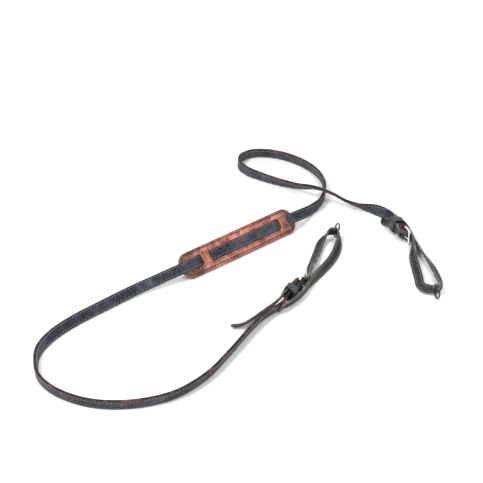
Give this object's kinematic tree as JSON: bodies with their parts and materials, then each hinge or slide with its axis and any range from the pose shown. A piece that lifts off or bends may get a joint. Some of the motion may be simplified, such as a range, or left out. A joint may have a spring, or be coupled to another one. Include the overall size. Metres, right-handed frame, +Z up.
{
  "type": "neck strap",
  "caption": "Long stitched leather neck strap woven through a wide shoulder pad, with a buckled end loop and a steel ring at each end.",
  "frame": {"origin": "centre of the bounding box, on the floor it lies on", "axes": "+Z up from the floor, +Y from the big loop toward the small loop, along the longest extent"},
  "size_m": [0.384, 0.455, 0.021],
  "materials": {
    "strap_leather": "smooth grain, low sheen, burnished edges",
    "pad_leather": "smooth burnished grain, satin",
    "buckle_steel": "polished nickel plate",
    "ring_steel": "dark bronze, glossy"
  },
  "bodies": {
    "root": {"strap": "strap_leather", "shoulder_pad": "pad_leather", "end_strap_near": "strap_leather", "keeper_near": "strap_leather", "buckle_frame_near": "buckle_steel", "buckle_prong_near": "buckle_steel", "lug_ring_near": "ring_steel", "end_strap_far": "strap_leather", "keeper_far": "strap_leather", "buckle_frame_far": "buckle_steel", "buckle_prong_far": "buckle_steel", "lug_ring_far": "ring_steel"}
  },
  "joints": []
}
